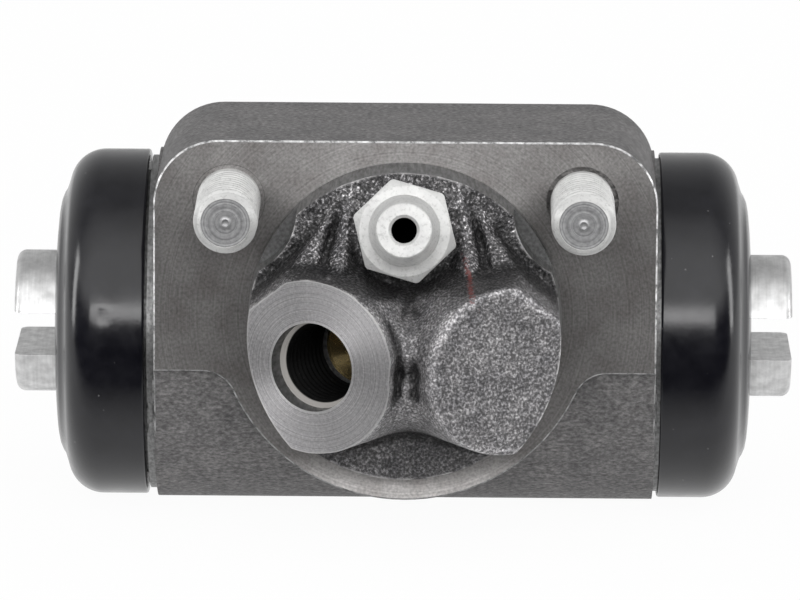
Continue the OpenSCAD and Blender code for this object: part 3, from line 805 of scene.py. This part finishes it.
painted_shade = painted_shade_thread()
points, faces = threaded_ring(thread_r, thread_depth, thread_pitch, thread_low, thread_high, 96, 200)
points = on_axis(points, port_mouth, port_axis, (1, 0, 0))
port_thread = new_piece("port_thread", points, faces, [painted_shade])
crisp(port_thread, 50)
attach(port_thread, "cylinder")

# Pipe seat
# A small turned brass ring with a hollow cone, pressed into the bottom of the port.
# The pipe's flare is squeezed onto it by the nut and seals there.
seat_depth = 15 * mm


def turned_brass():
    """Brass with fine turning rings about the port's axis and a dull tarnish."""
    finish, tree, shader = begin_finish("turned_brass", (0.5, 0.38, 0.17), 0.9, 0.25)
    shader.inputs["Anisotropic"].default_value = 0.9
    place = object_place(tree)
    seat_middle = port_mouth - seat_depth * port_axis
    away = add(tree, "ShaderNodeVectorMath", place, tuple(seat_middle), operation="SUBTRACT")
    tree.links.new(away, shader.inputs["Tangent"])
    tarnish = speckle(tree, place, 0.8 * mm, 3.0)
    tone = ramp(tree, tarnish, (0.3, (0.36, 0.27, 0.12)), (0.7, (0.6, 0.46, 0.22)))
    tree.links.new(tone, shader.inputs["Base Color"])
    tree.links.new(ramp(tree, tarnish, (0.3, 0.28), (0.7, 0.2)), shader.inputs["Roughness"])
    bump(tree, shader, speckle(tree, place, 0.3 * mm), 0.004 * mm, 0.5)
    return finish


def dress(node, finish):
    """Gives a CAD node's own object one finish, in place of the plain colour that it came with."""
    cad = frame["nodes"][node]
    cad.data.materials.clear()
    cad.data.materials.append(finish)


dress("pipe_seat", turned_brass())

# Studs
# Two zinc plated steel studs with a rolled thread and a sawn end, screwed into the casting.
# They go through the backing plate, and its nuts hold the cylinder by them.
stud_r = mounts["mounting_studs"]["dims"]["stud_r_mm"] * mm
stud_out = -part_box("stud_left")[0].y
stud_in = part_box("stud_left")[1].y
stud_chamfer = 0.9 * mm
stud_pitch = 1.25 * mm
stud_thread = 0.68 * mm
crest_r = stud_r - 0.2 * mm
set_r = 3.7 * mm
stud_sides, foot_rows, thread_rows, end_rows = 96, 5, 190, 40


def zinc_plate():
    """Bright zinc plating: pale, with cloudy patches, small dull scuffs and a fine satin tooth."""
    finish, tree, shader = begin_finish("zinc_plate", (0.62, 0.62, 0.61), 0.42, 0.46)
    place = object_place(tree)
    cloud = speckle(tree, place, 2.5 * mm, 3.0, 0.6)
    scuff = speckle(tree, place, 0.4 * mm, 3.0, 0.7)
    tone = ramp(tree, cloud, (0.3, (0.51, 0.51, 0.505)), (0.7, (0.63, 0.63, 0.62)))
    tone = mix(tree, 0.4, tone, ramp(tree, scuff, (0.33, 0.45), (0.46, 1.0)), "MULTIPLY")
    tree.links.new(tone, shader.inputs["Base Color"])
    tree.links.new(ramp(tree, scuff, (0.3, 0.55), (0.7, 0.4)), shader.inputs["Roughness"])
    bump(tree, shader, scuff, 0.012 * mm, 0.6)
    return finish


def tube(grid):
    """A closed tube through a grid of points, rows by sides: quads from row to row, and two flat ends."""
    rows, sides = grid.shape[:2]
    index = np.arange(rows * sides).reshape(rows, sides)
    after = np.roll(index, -1, 1)
    faces = np.stack([index[:-1], after[:-1], after[1:], index[1:]], -1).reshape(-1, 4).tolist()
    return grid.reshape(-1, 3), [*faces, index[0, ::-1].tolist(), index[-1].tolist()]


def stud_surface():
    """A bolt end: the radius falls by a flattened triangle wave of the pitch, which winds once a turn, under
    a cone at the chamfer; the end face has faint rings and a raised centre mark; the set end is plain."""
    angle = np.arange(stud_sides) * 2 * math.pi / stud_sides
    along = np.linspace(0, stud_out - 0.02 * mm, thread_rows)[:, None]
    phase = (along / stud_pitch - angle / (2 * math.pi)) % 1
    wave = np.abs(2 * phase - 1)
    groove = np.clip(1.35 * wave - 0.2, 0, 1)
    r = crest_r - stud_thread * groove * fade(along, 1.2 * stud_pitch)
    r = np.minimum(r, crest_r - stud_chamfer + (stud_out - along))
    face_r = np.linspace(crest_r - stud_chamfer - 0.03 * mm, 0.02 * mm, end_rows)[:, None]
    face_h = stud_out - 0.004 * mm * (1 + np.sin(face_r * 2 * math.pi / (0.4 * mm)))
    face_h = face_h - 0.12 * mm + 0.1 * mm * bell(face_r, 0.45 * mm, 0.16 * mm)
    foot = [[set_r, -0.62 * mm], [stud_r + 0.27 * mm, -0.06 * mm], [crest_r, -0.04 * mm]]
    plain = np.array([[0.02 * mm, -stud_in], [set_r, -stud_in], *foot])
    grow = np.ones((1, stud_sides))
    r = np.concatenate([plain[:, :1] * grow, r, face_r * grow])
    h = np.concatenate([plain[:, 1:], along, face_h]) * grow
    return tube(np.stack([r * np.cos(angle), r * np.sin(angle), h], -1))


def sawn_end():
    """A stud's cut end: grey steel with rings about the stud's axis, under thin plating."""
    finish, tree, shader = begin_finish("sawn_end", (0.3, 0.3, 0.3), 0.75, 0.5)
    place = object_place(tree)
    rub = speckle(tree, place, 0.5 * mm, 3.0, 0.6)
    x, y, z = parts_of(tree, place)
    across = math_node(tree, "SUBTRACT", math_node(tree, "ABSOLUTE", x), stud_x)
    up = math_node(tree, "SUBTRACT", z, stud_z)
    middle = add(tree, "ShaderNodeCombineXYZ", across, 0.0, up)
    rings = add(tree, "ShaderNodeTexNoise", W=length_of(tree, middle), Scale=1 / (0.35 * mm), Detail=2.0,
                noise_dimensions="1D")
    tone = ramp(tree, rub, (0.3, (0.28, 0.28, 0.285)), (0.7, (0.42, 0.42, 0.425)))
    tone = mix(tree, 0.8, tone, ramp(tree, rings, (0.35, 0.75), (0.52, 1.0), (0.66, 1.45)), "MULTIPLY")
    tree.links.new(tone, shader.inputs["Base Color"])
    bump(tree, shader, rub, 0.01 * mm, 0.5)
    return finish


zinc, sawn = zinc_plate(), sawn_end()
for side, name in ((-1, "left"), (1, "right")):
    points, faces = stud_surface()
    points = on_axis(points, (side * stud_x, 0, stud_z), out, (1, 0, side))
    stud = new_piece(f"threaded_stud_{name}", points, faces, [zinc, sawn, iron_finishes[TURNED]])
    row = np.arange(len(faces)) // stud_sides
    finish = np.where(row < foot_rows - 1, 2, row >= foot_rows + thread_rows)
    stud.data.polygons.foreach_set("material_index", finish.astype(np.int32))
    crisp(stud, 50)
    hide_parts(f"stud_{name}")
    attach(stud, "cylinder")

# Bleed screw
# A zinc plated steel screw: a hexagon with turned chamfers, and a hollow nipple with a barb for a hose.
# It is screwed into the bleed boss, seals there on its own cone, and opens by turning.
hex_flat = 5.5 * mm
hex_turn = math.radians(44)
hex_low, hex_high = 0.3 * mm, 4.5 * mm
hex_chamfer = 5.35 * mm
nipple_r, barb_r, tip_high = 3.35 * mm, 4.2 * mm, 13.5 * mm
barb_low, barb_high, barb_end = 9.1 * mm, 10.3 * mm, 12.6 * mm
screw_r, screw_low, cone_low = 4.95 * mm, -12 * mm, -13.6 * mm
hole_r, hole_low, axis_r = 1.5 * mm, -5.5 * mm, 0.02 * mm
corner_r = hex_flat / math.cos(math.pi / 6) - 0.1 * mm


def screw_surface(sides=180):
    """Rows of (radius, height) carried round the axis; a row whose radius is past the hexagon is cut back
    to it, so a cone above a flat leaves the curved edge of a turned chamfer. The last rows go back down the
    hole."""
    cone = np.linspace(0, 1, 12)
    chamfer = [(hex_chamfer + 1.2 * mm * t, hex_high - 0.62 * mm * t) for t in cone[::-1]]
    back = [(hex_chamfer + 1.2 * mm * t, hex_low + 0.5 * mm * t) for t in cone]
    rows = np.array([
        (axis_r, cone_low), (2 * mm, cone_low), (screw_r, screw_low), (screw_r, hex_low), *back, *chamfer,
        (hex_chamfer - 0.05 * mm, hex_high + 0.01 * mm), (nipple_r + 0.5 * mm, hex_high + 0.02 * mm),
        (nipple_r + 0.1 * mm, hex_high + 0.1 * mm), (nipple_r, hex_high + 0.4 * mm), (nipple_r, barb_low),
        (barb_r - 0.1 * mm, barb_high - 0.15 * mm), (barb_r, barb_high),
        (barb_r - 0.08 * mm, barb_high + 0.2 * mm), (nipple_r + 0.05 * mm, barb_end),
        (nipple_r - 0.02 * mm, barb_end + 0.3 * mm),
        (nipple_r - 0.08 * mm, tip_high - 0.15 * mm), (nipple_r - 0.25 * mm, tip_high),
        (hole_r + 0.33 * mm, tip_high), (hole_r + 0.25 * mm, tip_high - 0.05 * mm),
        (hole_r, tip_high - 0.3 * mm), (hole_r, hole_low), (axis_r, hole_low - 0.7 * mm)
    ])
    angle = np.arange(sides) * 2 * math.pi / sides
    sector = (angle + math.pi / 6) % (math.pi / 3) - math.pi / 6
    hexagon = np.minimum(hex_flat / np.cos(math.pi / 6 - np.abs(sector)), corner_r)
    r = np.minimum(rows[:, :1], hexagon)
    h = np.repeat(rows[:, 1:], sides, 1)
    return tube(np.stack([r * np.cos(angle + hex_turn), r * np.sin(angle + hex_turn), h], -1))


points, faces = screw_surface()
inside = np.hypot(points[:, 0], points[:, 1]) < hole_r + 0.01 * mm
points = on_axis(points, bleed_seat, bleed_axis, (1, 0, 0))
screw = new_piece("hex_bleed_screw", points, faces, [zinc, painted_shade])
# The walls of the nipple's hole take the thread's near-black finish: painted shade inside the hole.
walls = np.array(faces[:-2])
dark = np.append(inside[walls].all(axis=1), [False, False])
screw.data.polygons.foreach_set("material_index", dark.astype(np.int32))
crisp(screw, 28)
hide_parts("bleed_screw")
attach(screw, "bleeder")

# Spring, cups and expanders
# Inside the bore: a coil spring of drawn wire between two pressed steel plates, which spread the rubber cups.
# The wire is made in two halves that meet in the middle.
bore_y, bore_z = (sum(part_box("boot_left"), Vector()) / 2).yz
spring_low, spring_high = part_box("spring")
wire_r = 0.75 * mm
coil_r = (spring_high.z - spring_low.z) / 2 - wire_r
coil_turns = 6


def coil_half(start, end, sides=12, steps=120):
    """Round wire: a circle of the wire's radius carried along a helix about the bore, from one share of the
    helix to another, with flat ends."""
    share = np.linspace(start, end, steps)[:, None]
    turn = 2 * math.pi * coil_turns * share
    around = np.arange(sides) * 2 * math.pi / sides
    reach = coil_r + wire_r * np.cos(around)
    left, right = spring_low.x + wire_r, spring_high.x - wire_r
    x = left + (right - left) * share + wire_r * np.sin(around)
    grid = np.stack([x, bore_y + reach * np.cos(turn), bore_z + reach * np.sin(turn)], -1)
    return tube(grid[:, ::-1])


def drawn_steel():
    """Plain drawn steel with an oil film: grey, streaked along the bore."""
    finish, tree, shader = begin_finish("drawn_steel", (0.42, 0.42, 0.43), 0.95, 0.34)
    place = object_place(tree)
    streak = speckle(tree, add(tree, "ShaderNodeMapping", Vector=place, Scale=(1, 0.3, 0.3)), 0.5 * mm, 3.0)
    tree.links.new(ramp(tree, streak, (0.3, 0.3), (0.7, 0.52)), shader.inputs["Base Color"])
    tree.links.new(ramp(tree, streak, (0.3, 0.45), (0.7, 0.27)), shader.inputs["Roughness"])
    bump(tree, shader, streak, 0.01 * mm, 0.5)
    return finish


def cup_rubber():
    """Moulded seal rubber: black, softly mottled."""
    finish, tree, shader = begin_finish("cup_rubber", (0.02, 0.02, 0.02), 0.0, 0.45)
    place = object_place(tree)
    mottle = speckle(tree, place, 1 * mm, 3.0)
    tree.links.new(ramp(tree, mottle, (0.3, 0.012), (0.7, 0.03)), shader.inputs["Base Color"])
    bump(tree, shader, mottle, 0.02 * mm, 0.4)
    return finish


steel, seal = drawn_steel(), cup_rubber()
for name, start, end, near in (("left", 0, 0.5, spring_low.x), ("right", 0.5, 1, spring_high.x)):
    half = new_piece(f"coil_spring_{name}", *coil_half(start, end), [steel])
    crisp(half, 50)
    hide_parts("spring")
    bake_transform(half)
    dress(f"expander_{name}", steel)
    dress(f"cup_{name}", seal)

# Pistons
# Two turned steel pistons with satin plating, which slide in the bore and stand out through the boots.
# The slot milled across each nose takes the web of a brake shoe.


def satin_plate():
    """Satin plating on a turned nose: grey rings along the bore, cloudy, with dull nicks at the edges."""
    finish, tree, shader = begin_finish("satin_plate", (0.62, 0.62, 0.62), 0.85, 0.36)
    place = object_place(tree)
    round_bore = add(tree, "ShaderNodeMapping", Vector=place, Scale=(1, 0.05, 0.05))
    rings = speckle(tree, round_bore, 0.3 * mm, 3.0)
    cloud = speckle(tree, place, 1.6 * mm, 3.0, 0.6)
    tone = ramp(tree, cloud, (0.3, (0.52, 0.52, 0.52)), (0.7, (0.72, 0.72, 0.72)))
    tone = mix(tree, 0.25, tone, ramp(tree, rings, (0.3, 0.6), (0.7, 1.25)), "MULTIPLY")
    tree.links.new(tone, shader.inputs["Base Color"])
    tree.links.new(ramp(tree, cloud, (0.3, 0.46), (0.7, 0.3)), shader.inputs["Roughness"])
    bump(tree, shader, mix(tree, 0.5, rings, cloud), 0.015 * mm, 0.6)
    return finish


plate = satin_plate()
for name in ("left", "right"):
    piston = cad_copy(f"piston_{name}", f"slotted_piston_{name}", [plate])
    shape = bmesh.new()
    shape.from_mesh(piston.data)
    bmesh.ops.dissolve_limit(shape, angle_limit=near_flat, verts=shape.verts, edges=shape.edges)
    shape.to_mesh(piston.data)
    shape.free()
    piston.data.shade_smooth()
    crisp(piston, 32)
    edge_break = piston.modifiers.new("edge_break", "BEVEL")
    edge_break.width = 0.14 * mm
    edge_break.segments = 2
    edge_break.limit_method = "ANGLE"
    edge_break.angle_limit = math.radians(35)
    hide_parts(f"piston_{name}")
    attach(piston, f"{name}_piston")

# Boots
# Two moulded rubber boots: a bead grips the neck's groove and the lip holds the piston's nose, so the wall
# stretches and folds between the casting and the piston.
boot_r = (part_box("boot_left")[1].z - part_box("boot_left")[0].z) / 2
nose_hug = 8.64 * mm
rim_over = 0.35 * mm


def boot_rubber():
    """Moulded boot rubber: black with a satin gloss, faint rubbed haze and pale specks of dust."""
    finish, tree, shader = begin_finish("boot_rubber", (0.012, 0.012, 0.014), 0.0, 0.2)
    place = object_place(tree)
    haze = speckle(tree, place, 3 * mm, 4.0, 0.65)
    dust = add(tree, "ShaderNodeTexVoronoi", Vector=place, Scale=1 / (2.2 * mm))
    fleck = ramp(tree, dust, (0.03, 0.5), (0.06, 0.0))
    tone = ramp(tree, haze, (0.35, (0.003, 0.003, 0.005)), (0.75, (0.008, 0.008, 0.011)))
    tree.links.new(mix(tree, fleck, tone, (0.2, 0.2, 0.2)), shader.inputs["Base Color"])
    tree.links.new(ramp(tree, haze, (0.3, 0.15), (0.7, 0.24)), shader.inputs["Roughness"])
    bump(tree, shader, speckle(tree, place, 0.5 * mm, 3.0), 0.012 * mm, 0.5)
    return finish


def arc(centre_r, centre_h, radius, start, end, count):
    """Points (radius, height) along a round stretch of a profile, by angle in degrees from outwards."""
    angle = np.radians(np.linspace(start, end, count))
    return list(zip(centre_r + radius * np.cos(angle), centre_h + radius * np.sin(angle)))


def boot_profile(rim, face):
    """A closed section from the rim: outer wall, round shoulder, raised face, lip around the nose, and the
    inner wall back to the bead."""
    shoulder = 4.3 * mm
    step = face - 1.45 * mm
    outer = [(boot_r - 0.25 * mm, rim), (boot_r - 0.07 * mm, rim + 0.07 * mm), (boot_r, rim + 0.3 * mm)]
    outer += [(boot_r, h) for h in np.linspace(rim + 0.8 * mm, step - shoulder - 0.2 * mm, 8)]
    outer += arc(boot_r - shoulder, step - shoulder, shoulder, 0, 78, 16)
    raised = [(16.25, -1.12), (15.8, -0.82), (15.1, -0.52), (14.2, -0.34)]
    raised += [(12.8, -0.2), (11.2, -0.09), (9.6, -0.02)]
    outer += [(r * mm, face + h * mm) for r, h in raised]
    lip = [(nose_hug + 0.3 * mm, face), (nose_hug + 0.08 * mm, face - 0.07 * mm)]
    lip += [(nose_hug, face - 0.3 * mm), (nose_hug, face - 1.6 * mm), (nose_hug + 0.3 * mm, face - 2.4 * mm)]
    wall = 1.9 * mm
    inner = arc(boot_r - shoulder, step - shoulder, shoulder - wall, 80, 0, 10)
    inner += [(boot_r - wall, step - shoulder - 1 * mm), (boot_r - wall, rim + 5.2 * mm)]
    inner += [(boot_r - wall - 0.5 * mm, rim + 4.6 * mm), (boot_r - wall - 0.55 * mm, rim)]
    return outer + lip + inner


boot_black = boot_rubber()
dent_x, dent_z, dent_reach, dent_depth = -36.2 * mm, -0.6 * mm, 0.5 * mm, 0.18 * mm
for side, name in ((-1, "left"), (1, "right")):
    low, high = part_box(f"boot_{name}")
    rim, face = (-high.x, -low.x) if side < 0 else (low.x, high.x)
    rim -= rim_over
    points, faces = turned(boot_profile(rim, face), 160)
    points = on_axis(points, (0, bore_y, bore_z), (side, 0, 0), (0, 0, 1))
    dent = np.hypot(points[:, 0] - dent_x, points[:, 2] - dent_z)
    front = points[:, 1] < bore_y
    points[:, 1] += dent_depth * bell(dent, 0, dent_reach) * front
    boot = new_piece(f"rubber_boot_{name}", points, faces, [boot_black])
    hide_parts(f"boot_{name}")
    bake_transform(boot)

# Stage
# A pale paper sweep under soft studio light, for the picture alone: a bright sky above and in front, a long
# strip in front, an upright strip on each side, and white all round the back.
floor_z = cad_low.z - 0.1 * mm
sweep = 3.0


def pale_sweep():
    """White paper: lit and shaded as paper, shown nearly white to the camera, and to reflections a painted glow
    from near black far in front to nearly white close to the part.
    """
    finish, tree, shader = begin_finish("pale_sweep", (0.85, 0.85, 0.85), 0.0, 0.9)
    path = tree.nodes.new("ShaderNodeLightPath").outputs
    x, y, z = parts_of(tree, object_place(tree))
    # Painted reflection: in reflections the floor glows, near black more than 28 mm in front of the mounting face
    # and nearly white from 4 mm in front of it backwards.
    near = add(tree, "ShaderNodeMapRange", y, -28 * mm, -4 * mm, 0.02, 0.94)
    mirrored = math_node(tree, "MAXIMUM", path["Is Glossy Ray"], path["Is Transmission Ray"])
    seen = math_node(tree, "MULTIPLY", path["Is Camera Ray"], 0.96)
    seen = math_node(tree, "MAXIMUM", seen, mirrored)
    strength = math_node(tree, "MAXIMUM", path["Is Camera Ray"], near)
    white = add(tree, "ShaderNodeEmission", Strength=strength)
    both = add(tree, "ShaderNodeMixShader", seen, shader.outputs[0], white)
    tree.links.new(both, tree.nodes["Material Output"].inputs["Surface"])
    return finish


corners = np.array([(-1, -1, 0), (1, -1, 0), (1, 1, 0), (-1, 1, 0)]) * sweep + [0, 0, floor_z]
floor = new_piece("floor", corners, [[0, 1, 2, 3]], [pale_sweep()])

world = bpy.data.worlds.new("studio")
world.use_nodes = True
bpy.context.scene.world = world
tree = world.node_tree
path = tree.nodes.new("ShaderNodeLightPath").outputs
x, y, z = parts_of(tree, tree.nodes.new("ShaderNodeTexCoord").outputs["Generated"])
front = add(tree, "ShaderNodeMapRange", y, -0.55, 0.1, 1.75, 0.45)
raised = math_node(tree, "MULTIPLY", front, add(tree, "ShaderNodeMapRange", z, 0.2, 0.4, 0.02, 1.0))
behind = add(tree, "ShaderNodeMapRange", y, -0.05, 0.35, 0.0, 1.0)
level = mix(tree, behind, raised, add(tree, "ShaderNodeMapRange", z, 0.3, 0.9, 0.62, 0.38))
level = mix(tree, path["Is Camera Ray"], level, (1, 1, 1))
tree.links.new(level, tree.nodes["Background"].inputs["Color"])


def soft_lamp(name, place, target, wide, high, watts):
    """A flat lamp of the given size that faces a target."""
    data = bpy.data.lights.new(name, "AREA")
    data.shape, data.size, data.size_y, data.energy = "RECTANGLE", wide, high, watts
    lamp = bpy.data.objects.new(name, data)
    lamp.location = place
    lamp.rotation_euler = (Vector(target) - Vector(place)).to_track_quat("-Z", "Y").to_euler()
    bpy.context.scene.collection.objects.link(lamp)


soft_lamp("strip_front", (0, -0.95, 0.3), (0, 0, 0), 1.2, 0.18, 4.0)
for side, name in ((-1, "left"), (1, "right")):
    soft_lamp(f"strip_{name}", (side * 0.93, 0.02, 0.22), (0, 0, 0), 0.2, 0.5, 2.0)

# Camera
# The photograph's view: straight at the mounting face from twelve degrees above, with a long lens.
# It stands a hair to the right and is rolled by a third of a degree.
view_up, view_side, view_roll = math.radians(12), math.radians(0.5), math.radians(0.33)
view_far, view_lens = 950 * mm, 359.0
aim = Vector((-0.6 * mm, 0, 2.0 * mm))
camera = bpy.data.objects.new("camera", bpy.data.cameras.new("camera"))
camera.data.lens, camera.data.sensor_width = view_lens, 36
camera.data.clip_start, camera.data.clip_end = 0.05, 20
level = Vector((math.sin(view_side), -math.cos(view_side), 0))
back = level * math.cos(view_up) + Vector((0, 0, math.sin(view_up)))
camera.location = aim + back * view_far
camera.rotation_mode = "QUATERNION"
roll = Matrix.Rotation(view_roll, 4, "Z").to_quaternion()
camera.rotation_quaternion = (-back).to_track_quat("-Z", "Y") @ roll
bpy.context.scene.collection.objects.link(camera)
bpy.context.scene.camera = camera
bpy.context.scene.view_settings.view_transform = "Standard"
